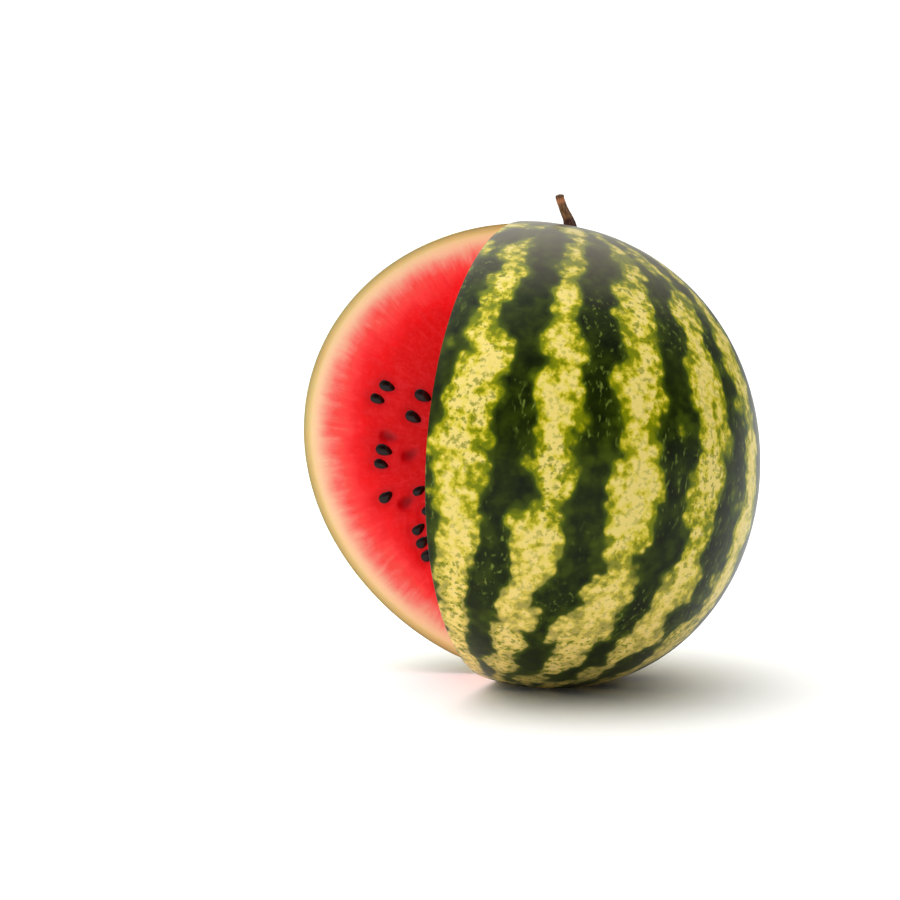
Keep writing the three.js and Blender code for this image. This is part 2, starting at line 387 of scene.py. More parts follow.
skin_path = list(skin_ids.T)
far_path = [core_ids[:, 0], *far_ids.T[::-1], skin_ids[:, 0]]
near_path = [skin_ids[:, -1], *near_ids.T, core_ids[:, 0]]
polygons = []
is_cut = []
for path, cut in ((far_path, True), (skin_path, False), (near_path, True)):
    for left, right in zip(path[:-1], path[1:]):
        strip = strip_quads(left.tolist(), right.tolist())
        polygons += strip
        is_cut += [cut] * len(strip)
print("faces of the body:", len(polygons))

# %% [markdown]
# Three attributes go with the mesh: the depth under the skin, which the finish of the cut turns into
# rind and flesh, how close a seed is, and how deep in an empty pocket a point lies. The last two only steer
# painted shade.

# %% The body of the fruit
def mesh_object(name, points, polygons, edges=()):
    """An object with a smooth mesh whose points are given in millimetres."""
    mesh = bpy.data.meshes.new(name)
    mesh.from_pydata((np.asarray(points) * MM).tolist(), list(edges), polygons)
    mesh.shade_smooth()
    made = bpy.data.objects.new(name, mesh)
    bpy.context.scene.collection.objects.link(made)
    return made


def give_attribute(mesh, name, values):
    """A number for each vertex."""
    mesh.attributes.new(name, "FLOAT", "POINT").data.foreach_set("value", np.asarray(values, np.float32))


fruit_body = mesh_object("fruit_body", vertices, polygons)
fruit_body.data.polygons.foreach_set("material_index", np.array(is_cut, np.int32))
off_the_cuts = len(vertices) - far_ids.size - near_ids.size
for name in ("depth", "painted_seed_shade", "painted_pocket_shade"):
    values = np.zeros(off_the_cuts)
    if name == "depth":
        values[core_ids[:, 0]] = under_skin(core_line)
    for _, known in faces_made:
        values = np.concatenate([values, known[name]])
    give_attribute(fruit_body.data, name, values)
print("fruit body's attributes:", sorted(fruit_body.data.attributes.keys()))

# %% [markdown]
# A finish is a small machine of nodes. One helper adds a node, sets its options and feeds its inputs,
# each with a plain value or with the output of another node. Colours are written as the hex values
# that a screen shows, and one function turns them into the linear light that Blender counts in.

# %% Helpers for finishes
def colour(hex_value, alpha=1.0):
    """A screen colour such as 0x4F7A22 as linear red, green, blue and alpha."""
    channels = [((hex_value >> shift) & 255) / 255 for shift in (16, 8, 0)]
    linear = [c / 12.92 if c <= 0.04045 else ((c + 0.055) / 1.055) ** 2.4 for c in channels]
    return (*linear, alpha)


def add(tree, kind, feeds=None, **options):
    """A node with its options set, and its inputs fed with values or with other nodes' outputs."""
    node = tree.nodes.new(kind)
    for name, value in options.items():
        setattr(node, name, value)
    for key, value in (feeds or {}).items():
        if isinstance(value, bpy.types.Node):
            value = value.outputs[0]
        if isinstance(value, bpy.types.NodeSocket):
            tree.links.new(value, node.inputs[key])
        else:
            node.inputs[key].default_value = value
    return node


def finish_named(name):
    """An empty material with its node tree and its output node."""
    material = bpy.data.materials.new(name)
    material.use_nodes = True
    material.node_tree.nodes.clear()
    return material, material.node_tree, material.node_tree.nodes.new("ShaderNodeOutputMaterial")


def set_stops(ramp_node, stops):
    """Fills a colour ramp with (place, hex colour) stops."""
    ramp = ramp_node.color_ramp
    while len(ramp.elements) < len(stops):
        ramp.elements.new(1.0)
    for element, (place, hex_value) in zip(ramp.elements, stops):
        element.position = place
        element.color = colour(hex_value)


print("a leaf green in linear light:", tuple(round(c, 3) for c in colour(0x4F7A22)))

# %% [markdown]
# Watermelon skin is a smooth, faintly waxy rind. Its stripes run from stem to blossom end like lines
# of longitude, so the pattern is worked out in the stem's own frame: the angle round the stem axis
# says which stripe a point is in. A light stripe is a chain of rounded lobes with smaller lobes on
# them, like a cauliflower. So the place is bent by noise of three real sizes first, and the distance
# from the stripe's edge, in millimetres, is then swelled by the round cells of two sizes.

# %% Where the stripes are
STRIPES = 17
STRIPE_PHASE = math.radians(1.7)  # from -Y towards +X to the middle of a light stripe
LIGHT_SHARE = 0.275  # half of a light stripe, as a share of the way from stripe to stripe
BENDS = {60.0: 14.0, 20.0: 9.0, 6.5: 4.5}  # size of a bend, and how far it pushes the pattern
SWELL_SIZE, SWELL = 26.0, 15.0
LOBES = {17.0: 13.0, 6.5: 5.5}  # size of a lobe, and how far it stands out

across_stem = unit(np.array([1.0, 0.0, 0.0]) - stem_axis * stem_axis[0])
behind_stem = np.cross(stem_axis, across_stem)
stem_frame = Matrix(np.stack([across_stem, behind_stem, stem_axis], axis=-1).tolist()).to_euler()
skin_material, tree, output = finish_named("waxy_striped_melon_skin")
place = add(tree, "ShaderNodeTexCoord").outputs["Object"]
stem_place = add(tree, "ShaderNodeMapping", {"Vector": place, "Location": Vector(fruit_centre) * MM,
                                            "Rotation": stem_frame}, vector_type="TEXTURE")
spot = add(tree, "ShaderNodeVectorMath", {0: stem_place, "Scale": 1 / MM}, operation="SCALE")
bent = spot
for size, push in BENDS.items():
    bend = add(tree, "ShaderNodeTexNoise", {"Vector": spot, "Scale": 1 / size, "Detail": 0.0})
    bend = add(tree, "ShaderNodeVectorMath", {0: bend.outputs["Color"], 1: (0.5, 0.5, 0.5)},
               operation="SUBTRACT")
    bend = add(tree, "ShaderNodeVectorMath", {0: bend, "Scale": push}, operation="SCALE")
    bent = add(tree, "ShaderNodeVectorMath", {0: bent, 1: bend}, operation="ADD")

axes = add(tree, "ShaderNodeSeparateXYZ", {0: bent})
front = add(tree, "ShaderNodeMath", {0: axes.outputs["Y"], 1: -1.0}, operation="MULTIPLY")
round_stem = add(tree, "ShaderNodeMath", {0: axes.outputs["X"], 1: front}, operation="ARCTAN2")
level = add(tree, "ShaderNodeVectorMath", {0: bent, 1: (1.0, 1.0, 0.0)}, operation="MULTIPLY")
off_axis = add(tree, "ShaderNodeVectorMath", {0: level}, operation="LENGTH").outputs["Value"]
stripe_gap = add(tree, "ShaderNodeMath", {0: off_axis, 1: math.tau / STRIPES}, operation="MULTIPLY")
stripe = add(tree, "ShaderNodeMath", {0: round_stem, 1: STRIPES / math.tau,
                                      2: -STRIPE_PHASE * STRIPES / math.tau}, operation="MULTIPLY_ADD")
nearest = add(tree, "ShaderNodeMath", {0: stripe}, operation="ROUND")
off_middle = add(tree, "ShaderNodeMath", {0: stripe, 1: nearest}, operation="SUBTRACT")
off_middle = add(tree, "ShaderNodeMath", {0: off_middle}, operation="ABSOLUTE")
inside = add(tree, "ShaderNodeMath", {0: LIGHT_SHARE, 1: off_middle}, operation="SUBTRACT")
inside = add(tree, "ShaderNodeMath", {0: inside, 1: stripe_gap}, operation="MULTIPLY")
swell = add(tree, "ShaderNodeTexNoise", {"Vector": spot, "Scale": 1 / SWELL_SIZE, "Detail": 0.0, "W": 3.0},
            noise_dimensions="4D").outputs["Fac"]
swell = add(tree, "ShaderNodeMath", {0: swell, 1: SWELL, 2: -SWELL / 2}, operation="MULTIPLY_ADD")
inside = add(tree, "ShaderNodeMath", {0: inside, 1: swell}, operation="ADD")
for size, tall in LOBES.items():
    cells = add(tree, "ShaderNodeTexVoronoi", {"Vector": spot, "Scale": 1 / size}, feature="F1")
    lobe = add(tree, "ShaderNodeMath", {0: cells.outputs["Distance"], 1: -tall, 2: tall / 2},
               operation="MULTIPLY_ADD")
    inside = add(tree, "ShaderNodeMath", {0: inside, 1: lobe}, operation="ADD")
print("stripe pattern:", len(tree.nodes), "nodes")

# %% [markdown]
# Now the distance becomes colour, first for the dark stripes. Dark green skin is mottled, and paler
# beside a light stripe. Some dark stripes carry rows of faint pale flecks, which are longer than wide.

# %% Dark stripes
MOTTLE_SIZE = 9.0
PALER_FROM = -4.5  # where a dark stripe starts to pale, counted from its edge
FLECK_SIZE = (2.2, 2.2, 5.0)
FLECKED_SIZE = 40.0  # size of a part of the skin that has flecks
mottle = add(tree, "ShaderNodeTexNoise", {"Vector": spot, "Scale": 1 / MOTTLE_SIZE,
                                          "Detail": 4.0}).outputs["Fac"]
dark_skin = add(tree, "ShaderNodeValToRGB", {"Fac": mottle})
set_stops(dark_skin, [(0.3, 0x0E1602), (0.5, 0x1C2602), (0.7, 0x303C04)])
beside = add(tree, "ShaderNodeMapRange", {"Value": inside, "From Min": PALER_FROM, "From Max": 0.0,
                                          "To Max": 0.7})
dark_skin = add(tree, "ShaderNodeMix", {"Factor": beside, 6: dark_skin, 7: colour(0x465606)},
                data_type="RGBA").outputs[2]
fleck_spot = add(tree, "ShaderNodeVectorMath", {0: spot, 1: FLECK_SIZE}, operation="DIVIDE")
flecks = add(tree, "ShaderNodeTexNoise", {"Vector": fleck_spot, "Scale": 1.0, "Detail": 1.0}).outputs["Fac"]
flecks = add(tree, "ShaderNodeMapRange", {"Value": flecks, "From Min": 0.6, "From Max": 0.75, "To Max": 0.5})
flecked = add(tree, "ShaderNodeTexNoise", {"Vector": spot, "Scale": 1 / FLECKED_SIZE,
                                           "Detail": 0.0}).outputs["Fac"]
flecked = add(tree, "ShaderNodeMapRange", {"Value": flecked, "From Min": 0.48, "From Max": 0.6})
flecks = add(tree, "ShaderNodeMath", {0: flecks, 1: flecked}, operation="MULTIPLY")
dark_skin = add(tree, "ShaderNodeMix", {"Factor": flecks, 6: dark_skin, 7: colour(0x7E8E38)},
                data_type="RGBA").outputs[2]
print("with the dark stripes:", len(tree.nodes), "nodes")

# %% [markdown]
# A light stripe is yellow-green at its edge and cream in its middle, and the middle of each small lobe
# is paler too. Low down on the fruit it turns a little peachy. The stripe is freckled with olive,
# more so near its edge, and in some parts of the skin more than in others.

# %% Light stripes
PALEST_AT = 11.0  # how far inside a light stripe its palest colour is reached
LOBE_TINT = 0.12  # how much paler the middle of a small lobe is, for each millimetre
PATCH_SIZE, PATCHES = 4.0, 2.4  # size of a small patch, and how far it strays from its place's colour
LOW_FROM, LOW_TO = -30.0, -100.0  # heights from the fruit's middle
FRECKLE_SIZE = 2.7
CALM_SIZE = 45.0  # size of a part of the skin with fewer freckles
patches = add(tree, "ShaderNodeTexNoise", {"Vector": spot, "Scale": 1 / PATCH_SIZE,
                                           "Detail": 3.0}).outputs["Fac"]
patches = add(tree, "ShaderNodeMath", {0: patches, 1: PATCHES, 2: -PATCHES / 2}, operation="MULTIPLY_ADD")
into_light = add(tree, "ShaderNodeMapRange", {"Value": inside, "From Max": PALEST_AT})
into_light = add(tree, "ShaderNodeMath", {0: into_light, 1: patches}, operation="ADD")
into_light = add(tree, "ShaderNodeMath", {0: lobe, 1: LOBE_TINT, 2: into_light}, operation="MULTIPLY_ADD")
light_skin = add(tree, "ShaderNodeValToRGB", {"Fac": into_light})
set_stops(light_skin, [(0.0, 0x6E7604), (0.25, 0x929006), (0.5, 0xC0B22E), (0.75, 0xD6C458), (1.0, 0xDCC870)])
height = add(tree, "ShaderNodeSeparateXYZ", {0: spot}).outputs["Z"]
low_down = add(tree, "ShaderNodeMapRange", {"Value": height, "From Min": LOW_FROM, "From Max": LOW_TO,
                                            "To Max": 0.4})
light_skin = add(tree, "ShaderNodeMix", {"Factor": low_down, 6: light_skin, 7: colour(0xF4CE88)},
                 data_type="RGBA").outputs[2]
freckles = add(tree, "ShaderNodeTexNoise", {"Vector": spot, "Scale": 1 / FRECKLE_SIZE,
                                            "Detail": 3.0}).outputs["Fac"]
freckles = add(tree, "ShaderNodeMapRange", {"Value": freckles, "From Min": 0.52, "From Max": 0.62})
freckled = add(tree, "ShaderNodeMapRange", {"Value": into_light, "To Min": 0.95, "To Max": 0.7})
freckles = add(tree, "ShaderNodeMath", {0: freckles, 1: freckled}, operation="MULTIPLY")
calm = add(tree, "ShaderNodeTexNoise", {"Vector": spot, "Scale": 1 / CALM_SIZE, "Detail": 0.0}).outputs["Fac"]
calm = add(tree, "ShaderNodeMapRange", {"Value": calm, "From Min": 0.42, "From Max": 0.6, "To Min": 1.0,
                                        "To Max": 0.5})
freckles = add(tree, "ShaderNodeMath", {0: freckles, 1: calm}, operation="MULTIPLY")
light_skin = add(tree, "ShaderNodeMix", {"Factor": freckles, 6: light_skin, 7: colour(0x626E00)},
                 data_type="RGBA").outputs[2]
print("with the light stripes:", len(tree.nodes), "nodes")

# %% [markdown]
# The two kinds of stripe are laid side by side, and three places differ from both. Towards the stem a
# greyish veil is painted over the skin, a painted reflection of the bright sky overhead. Round the stem's
# root it is corky, and where the fruit has lain on the field it never greened and stayed cream. The
# finished skin is smooth with a very thin bloom of wax, so its gloss is soft, and the bumps in it are
# only hundredths of a millimetre high.

# %% Skin from the stem to the ground
EDGE = 1.5  # half of the way over which dark turns to light
VEIL_FROM, VEIL_TO = 75.0, 122.0  # heights from the fruit's middle
CORK_FROM, CORK_TO = 8.5, 4.5  # distances from the stem's axis
CREAM_FROM, CREAM_TO = 1.2, 0.1  # heights over the ground
WAX_SIZE, WAX_BUMP = 1.6, 0.02
light = add(tree, "ShaderNodeMapRange", {"Value": inside, "From Min": -EDGE, "From Max": EDGE},
            interpolation_type="SMOOTHSTEP")
skin_colour = add(tree, "ShaderNodeMix", {"Factor": light, 6: dark_skin, 7: light_skin},
                  data_type="RGBA").outputs[2]
# Painted reflection: the skin is greyed towards the stem, where the bright sky overhead shows as a pale veil.
painted_top_veil = add(tree, "ShaderNodeMapRange", {"Value": height, "From Min": VEIL_FROM, "From Max": VEIL_TO,
                                             "To Max": 0.5})
skin_colour = add(tree, "ShaderNodeMix", {"Factor": painted_top_veil, 6: skin_colour, 7: colour(0x7E7264)},
                  data_type="RGBA").outputs[2]
at_root = add(tree, "ShaderNodeMapRange", {"Value": off_axis, "From Min": CORK_FROM, "From Max": CORK_TO,
                                           "To Max": 0.6})
above = add(tree, "ShaderNodeMath", {0: height, 1: 0.0}, operation="GREATER_THAN")
at_root = add(tree, "ShaderNodeMath", {0: at_root, 1: above}, operation="MULTIPLY")
skin_colour = add(tree, "ShaderNodeMix", {"Factor": at_root, 6: skin_colour, 7: colour(0xB8A084)},
                  data_type="RGBA").outputs[2]
off_ground = add(tree, "ShaderNodeSeparateXYZ", {0: place}).outputs["Z"]
on_ground = add(tree, "ShaderNodeMapRange", {"Value": off_ground, "From Min": CREAM_FROM * MM,
                                             "From Max": CREAM_TO * MM})
skin_colour = add(tree, "ShaderNodeMix", {"Factor": on_ground, 6: skin_colour, 7: colour(0xD6C27E)},
                  data_type="RGBA").outputs[2]
wax = add(tree, "ShaderNodeTexNoise", {"Vector": spot, "Scale": 1 / WAX_SIZE}).outputs["Fac"]
bump = add(tree, "ShaderNodeBump", {"Height": wax, "Distance": WAX_BUMP * MM, "Strength": 1.0})
skin_shader = add(tree, "ShaderNodeBsdfPrincipled", {"Base Color": skin_colour, "Roughness": 0.32, "IOR": 1.4,
                                                     "Specular IOR Level": 0.13, "Normal": bump})
tree.links.new(skin_shader.outputs[0], output.inputs["Surface"])
print("skin finish:", len(tree.nodes), "nodes")

# %% [markdown]
# Inside, a ripe melon is a thin green line of skin, a firm cream rind, a blush of pink and then wet red
# flesh, which the ramp makes darker deeper in: partly the flesh's own deeper red, partly painted shade.
# The depth under the skin decides between them, but not evenly: fibres run out from the middle and carry
# the red with them. They are noise that is read on a ball of nearly one size, so that it hardly changes
# on the way out and comes out as streaks.

# %% From rind to red
FLESH_DEPTH = 94.0  # the depth that the end of the ramp below stands for
FIBRE_REACH, FIBRE_STRETCH = 80.0, 0.12  # near the rind, fibres are about seven times as long as wide
FIBRE_WIDTH = 3.2
BLUSH_SIZE, BLUSH = 13.0, 13.0  # size of a broad lump in the blush, and how far the blush strays in depth
FIRM_RIND = 5.0  # the rind above this depth is even
flesh_material, tree, output = finish_named("wet_melon_flesh_and_rind")
place = add(tree, "ShaderNodeTexCoord").outputs["Object"]
spot = add(tree, "ShaderNodeVectorMath", {0: place, "Scale": 1 / MM}, operation="SCALE")
depth = add(tree, "ShaderNodeAttribute", attribute_name="depth").outputs["Fac"]
from_centre = add(tree, "ShaderNodeVectorMath", {0: spot, 1: Vector(fruit_centre)}, operation="SUBTRACT")
radius = add(tree, "ShaderNodeVectorMath", {0: from_centre}, operation="LENGTH").outputs["Value"]
outwards = add(tree, "ShaderNodeVectorMath", {0: from_centre}, operation="NORMALIZE")
fibre_reach = add(tree, "ShaderNodeMath", {0: radius, 1: FIBRE_STRETCH, 2: FIBRE_REACH},
                  operation="MULTIPLY_ADD")
fibre_spot = add(tree, "ShaderNodeVectorMath", {0: outwards, "Scale": fibre_reach}, operation="SCALE")
fibres = add(tree, "ShaderNodeTexNoise", {"Vector": fibre_spot, "Scale": 1 / FIBRE_WIDTH, "Detail": 4.0,
                                          "Roughness": 0.65}).outputs["Fac"]
broad = add(tree, "ShaderNodeTexNoise", {"Vector": spot, "Scale": 1 / BLUSH_SIZE,
                                         "Detail": 3.0}).outputs["Fac"]
blush = add(tree, "ShaderNodeMath", {0: fibres, 1: broad}, operation="ADD")
blush = add(tree, "ShaderNodeMath", {0: blush, 1: BLUSH, 2: -BLUSH}, operation="MULTIPLY_ADD")
from_edge = add(tree, "ShaderNodeMapRange", {"Value": depth, "From Min": FIRM_RIND, "From Max": 16.0})
blush = add(tree, "ShaderNodeMath", {0: blush, 1: from_edge}, operation="MULTIPLY")
deep = add(tree, "ShaderNodeMath", {0: depth, 1: blush}, operation="ADD")
deep_share = add(tree, "ShaderNodeMath", {0: deep, 1: FLESH_DEPTH}, operation="DIVIDE")
flesh_colour = add(tree, "ShaderNodeValToRGB", {"Fac": deep_share})
# Partly painted shade: from 0.4 on, the stops darken the red deeper into the cut. This is partly the flesh's
# own deeper red.
set_stops(flesh_colour, [(0.0, 0x8E8A4A), (0.016, 0xC4B476), (0.032, 0xDAC882), (0.048, 0xECD6A0),
                         (0.07, 0xF1D1A7), (0.09, 0xF0C09E), (0.112, 0xEEA58B), (0.15, 0xF0796E),
                         (0.192, 0xF05249), (0.235, 0xF43C3C), (0.28, 0xEC2428), (0.32, 0xE80C12),
                         (0.4, 0xD70006), (0.6, 0xC40002), (0.9, 0xB00002)])
print("from rind to red:", len(tree.nodes), "nodes")

# %% [markdown]
# Close up, the red is not one colour either. Torn cells and fibres are paler. Painted shade darkens it
# beside a seed, over the moat that the seed stands in, and in an empty pocket. The flesh is full of juice,
# so some light goes in and comes out again a few millimetres away: that is what subsurface does.

# %% Cut flesh
CELL_SIZE, CELL_BUMP = 1.6, 0.25
FLESH_FROM, FLESH_TO = 9.0, 18.0  # depths over which rind turns to flesh
grain = add(tree, "ShaderNodeTexNoise", {"Vector": spot, "Scale": 1 / CELL_SIZE, "Detail": 3.0,
                                         "Roughness": 0.6}).outputs["Fac"]
grain_share = add(tree, "ShaderNodeMapRange", {"Value": grain, "From Min": 0.45, "From Max": 0.75,
                                               "To Max": 0.2})
in_flesh = add(tree, "ShaderNodeMapRange", {"Value": depth, "From Min": FLESH_FROM, "From Max": FLESH_TO})
grain_share = add(tree, "ShaderNodeMath", {0: grain_share, 1: in_flesh}, operation="MULTIPLY")
flesh_colour = add(tree, "ShaderNodeMix", {"Factor": grain_share, 6: flesh_colour, 7: colour(0xF04850)},
                   data_type="RGBA").outputs[2]
pale_fibres = add(tree, "ShaderNodeMapRange", {"Value": fibres, "From Min": 0.5, "From Max": 0.75,
                                               "To Max": 0.3})
pale_fibres = add(tree, "ShaderNodeMath", {0: pale_fibres, 1: in_flesh}, operation="MULTIPLY")
flesh_colour = add(tree, "ShaderNodeMix", {"Factor": pale_fibres, 6: flesh_colour, 7: colour(0xF2404A)},
                   data_type="RGBA").outputs[2]
# Painted shade: the flesh is darkened round each seed, where the seed and its moat shade it.
painted_seed_shade = add(tree, "ShaderNodeAttribute", attribute_name="painted_seed_shade").outputs["Fac"]
painted_seed_shade = add(tree, "ShaderNodeMath", {0: painted_seed_shade, 1: 0.55}, operation="MULTIPLY")
flesh_colour = add(tree, "ShaderNodeMix", {"Factor": painted_seed_shade, 6: flesh_colour, 7: colour(0xB00010)},
                   data_type="RGBA").outputs[2]
# Painted shade: the flesh is darkened inside an empty seed pocket, a recess where shade falls.
painted_pocket_shade = add(tree, "ShaderNodeAttribute", attribute_name="painted_pocket_shade").outputs["Fac"]
flesh_colour = add(tree, "ShaderNodeMix", {"Factor": painted_pocket_shade, 6: flesh_colour, 7: colour(0x8E0410)},
                   data_type="RGBA").outputs[2]
bump = add(tree, "ShaderNodeBump", {"Height": grain, "Distance": CELL_BUMP * MM, "Strength": 0.6})
flesh_shader = add(tree, "ShaderNodeBsdfPrincipled", {
    "Base Color": flesh_colour, "Roughness": 0.38, "IOR": 1.35, "Normal": bump,
    "Specular IOR Level": 0.25, "Subsurface Weight": 0.25, "Subsurface Radius": (1.0, 0.25, 0.15),
    "Subsurface Scale": 4 * MM})
tree.links.new(flesh_shader.outputs[0], output.inputs["Surface"])
fruit_body.data.materials.append(skin_material)
fruit_body.data.materials.append(flesh_material)
print("flesh finish:", len(tree.nodes), "nodes")

# %% [markdown]
# A seed coat is hard, smooth and wet, so the bright sky shows in it as small highlights. It is black, and
# faintly mottled with brown.

# %% Seed coat
SEED_MOTTLE_SIZE = 3.0
seed_material, tree, output = finish_named("wet_seed_coat")
place = add(tree, "ShaderNodeTexCoord").outputs["Object"]
spot = add(tree, "ShaderNodeVectorMath", {0: place, "Scale": 1 / MM}, operation="SCALE")
mottle = add(tree, "ShaderNodeTexNoise", {"Vector": spot, "Scale": 1 / SEED_MOTTLE_SIZE}).outputs["Fac"]
seed_colour = add(tree, "ShaderNodeValToRGB", {"Fac": mottle})
set_stops(seed_colour, [(0.3, 0x070202), (0.7, 0x1C0806)])
seed_shader = add(tree, "ShaderNodeBsdfPrincipled", {"Base Color": seed_colour, "Roughness": 0.2, "IOR": 1.4,
                                                     "Specular IOR Level": 0.3})
tree.links.new(seed_shader.outputs[0], output.inputs["Surface"])
print("seed coat:", len(tree.nodes), "nodes")

# %% [markdown]
# The seeds are one shape that is repeated, so Geometry Nodes place them. They need to be told where, and
# which way round: the points of a bare mesh say where, and two attributes say which way a
# seed's point looks and which way is out of the cut.

# %% Points for the seeds
kept = [seed for face in cut_faces for seed in face["seeds"] if not seed["empty"]]
seed_lift = SEED_PROUD - SEED_THICKNESS / 2
seed_points = [seed["middle"] + seed["clear"] * seed_lift for seed in kept]
seeds = mesh_object("seeds", seed_points, [])
for name in ("point", "clear"):
    looks = seeds.data.attributes.new(f"seed_{name}", "FLOAT_VECTOR", "POINT")
    looks.data.foreach_set("vector", np.array([seed[name] for seed in kept], np.float32).ravel())
print("seeds that are still in:", len(kept))

# %% [markdown]
# The tree makes one drop out of a ball, by narrowing it towards its point and flattening it. Then it
# copies the drop to each point, turned by the two attributes and up to a seventh smaller.

# %% Seeds
tree = bpy.data.node_groups.new("seeds_on_points", "GeometryNodeTree")
tree.interface.new_socket("Geometry", in_out="INPUT", socket_type="NodeSocketGeometry")
for name in ("Length", "Width", "Thickness", "Taper", "Size Spread"):
    tree.interface.new_socket(name, in_out="INPUT", socket_type="NodeSocketFloat")
tree.interface.new_socket("Coat", in_out="INPUT", socket_type="NodeSocketMaterial")
tree.interface.new_socket("Geometry", in_out="OUTPUT", socket_type="NodeSocketGeometry")
given = add(tree, "NodeGroupInput").outputs
ball = add(tree, "GeometryNodeMeshUVSphere", {"Segments": 24, "Rings": 16, "Radius": 0.5})
corner = add(tree, "ShaderNodeSeparateXYZ", {0: add(tree, "GeometryNodeInputPosition")})
narrow = add(tree, "ShaderNodeMath", {0: corner.outputs["Y"], 1: given["Taper"]}, operation="MULTIPLY")
narrow = add(tree, "ShaderNodeMath", {0: narrow, 1: -2.0, 2: 1.0}, operation="MULTIPLY_ADD")
wide = add(tree, "ShaderNodeMath", {0: narrow, 1: given["Width"]}, operation="MULTIPLY")
drop_x = add(tree, "ShaderNodeMath", {0: corner.outputs["X"], 1: wide}, operation="MULTIPLY")
drop_y = add(tree, "ShaderNodeMath", {0: corner.outputs["Y"], 1: given["Length"]}, operation="MULTIPLY")
drop_z = add(tree, "ShaderNodeMath", {0: corner.outputs["Z"], 1: given["Thickness"]}, operation="MULTIPLY")
drop = add(tree, "ShaderNodeCombineXYZ", {0: drop_x, 1: drop_y, 2: drop_z})
drop = add(tree, "GeometryNodeSetPosition", {"Geometry": ball, "Position": drop})
looks_along = add(tree, "GeometryNodeInputNamedAttribute", {"Name": "seed_point"}, data_type="FLOAT_VECTOR")
looks_clear = add(tree, "GeometryNodeInputNamedAttribute", {"Name": "seed_clear"}, data_type="FLOAT_VECTOR")
turned = add(tree, "FunctionNodeAxesToRotation", {"Primary Axis": looks_clear, "Secondary Axis": looks_along},
             primary_axis="Z", secondary_axis="Y")
smallest = add(tree, "ShaderNodeMath", {0: 1.0, 1: given["Size Spread"]}, operation="SUBTRACT")
grown = add(tree, "FunctionNodeRandomValue", {2: smallest, 3: 1.0, "Seed": 4}, data_type="FLOAT")
placed = add(tree, "GeometryNodeInstanceOnPoints", {"Points": given["Geometry"], "Instance": drop,
                                                    "Rotation": turned, "Scale": grown.outputs[1]})
solid = add(tree, "GeometryNodeRealizeInstances", {"Geometry": placed})
smooth = add(tree, "GeometryNodeSetShadeSmooth", {"Geometry": solid})
coated = add(tree, "GeometryNodeSetMaterial", {"Geometry": smooth, "Material": given["Coat"]})
add(tree, "NodeGroupOutput", {0: coated})


def grow(target, tree, values):
    """Runs a tree on an object with its inputs given by name, and keeps the result as a plain mesh."""
    modifier = target.modifiers.new(tree.name, "NODES")
    modifier.node_group = tree
    for item in tree.interface.items_tree:
        if item.in_out == "INPUT" and item.name in values:
            modifier[item.identifier] = values[item.name]
    evaluated = target.evaluated_get(bpy.context.evaluated_depsgraph_get())
    grown_mesh = bpy.data.meshes.new_from_object(evaluated)
    target.modifiers.clear()
    target.data = grown_mesh
    print(target.name, "has", len(grown_mesh.vertices), "vertices,", len(grown_mesh.polygons), "faces")


grow(seeds, tree, {"Length": SEED_LENGTH * MM, "Width": SEED_WIDTH * MM, "Thickness": SEED_THICKNESS * MM,
                   "Taper": SEED_TAPER, "Size Spread": 0.14, "Coat": seed_material})

# %% [markdown]
# The stem is what is left of the vine: a ridged stalk that has dried, shrunk into wrinkles and snapped
# off. It follows a line, so it is made as a sweep along that line. The line starts inside the fruit,
# so that the root doesn't end at the skin.

# %% The stem's line
STEM_ROOT_RADIUS = 3.7
STEM_TIP_RADIUS = 2.2
STEM_FLARE = 0.36
STEM_RIDGES = 5
STEM_RIDGE_SHARE = 0.12
STEM_ROOT_DEPTH = 3.0
STEM_LINE = [(0, 0, 0), (-1, 0, 4.6), (-3.9, -0.3, 11.2), (-5.4, -0.6, 15.6), (-5.9, -0.7, 18.3)]
STEM_WRINKLE = 0.6
STEM_END = 0.955  # where it starts to close

stem_root = fruit_centre + stem_axis * skin_radius(stem_axis)
stem_points = [stem_root - STEM_ROOT_DEPTH * stem_axis, *[stem_root + np.array(spot) for spot in STEM_LINE]]
stem_edges = [(i, i + 1) for i in range(len(stem_points) - 1)]
stem_stub = mesh_object("stem_stub", stem_points, [], stem_edges)
print("the stem stands on the skin at", stem_root.round(1), "mm")

# %% [markdown]
# Geometry Nodes sweep a ring along the line. How large the ring is at each place depends on how far
# along it is: widest at the root, then nearly even, and closing over the broken end.

# %% Stem stub: the line and the size of the ring
tree = bpy.data.node_groups.new("ridged_stalk", "GeometryNodeTree")
tree.interface.new_socket("Geometry", in_out="INPUT", socket_type="NodeSocketGeometry")
for name in ("Root Radius", "Tip Radius", "Flare", "Ridges", "Ridge Share", "Wrinkle", "End"):
    tree.interface.new_socket(name, in_out="INPUT", socket_type="NodeSocketFloat")
tree.interface.new_socket("Bark", in_out="INPUT", socket_type="NodeSocketMaterial")
tree.interface.new_socket("Geometry", in_out="OUTPUT", socket_type="NodeSocketGeometry")
given = add(tree, "NodeGroupInput").outputs
line = add(tree, "GeometryNodeMeshToCurve", {"Mesh": given["Geometry"]})
line = add(tree, "GeometryNodeCurveSplineType", {"Curve": line}, spline_type="CATMULL_ROM")
line = add(tree, "GeometryNodeResampleCurve", {"Curve": line, "Count": 84}, mode="COUNT")
along = add(tree, "GeometryNodeSplineParameter").outputs["Factor"]
line = add(tree, "GeometryNodeStoreNamedAttribute", {"Geometry": line, "Name": "along", "Value": along})
flare = add(tree, "ShaderNodeMath", {0: along, 1: given["Flare"]}, operation="DIVIDE")
flare = add(tree, "ShaderNodeMath", {0: flare, 1: 2.0}, operation="POWER")
flare = add(tree, "ShaderNodeMath", {0: flare, 1: -1.0}, operation="MULTIPLY")
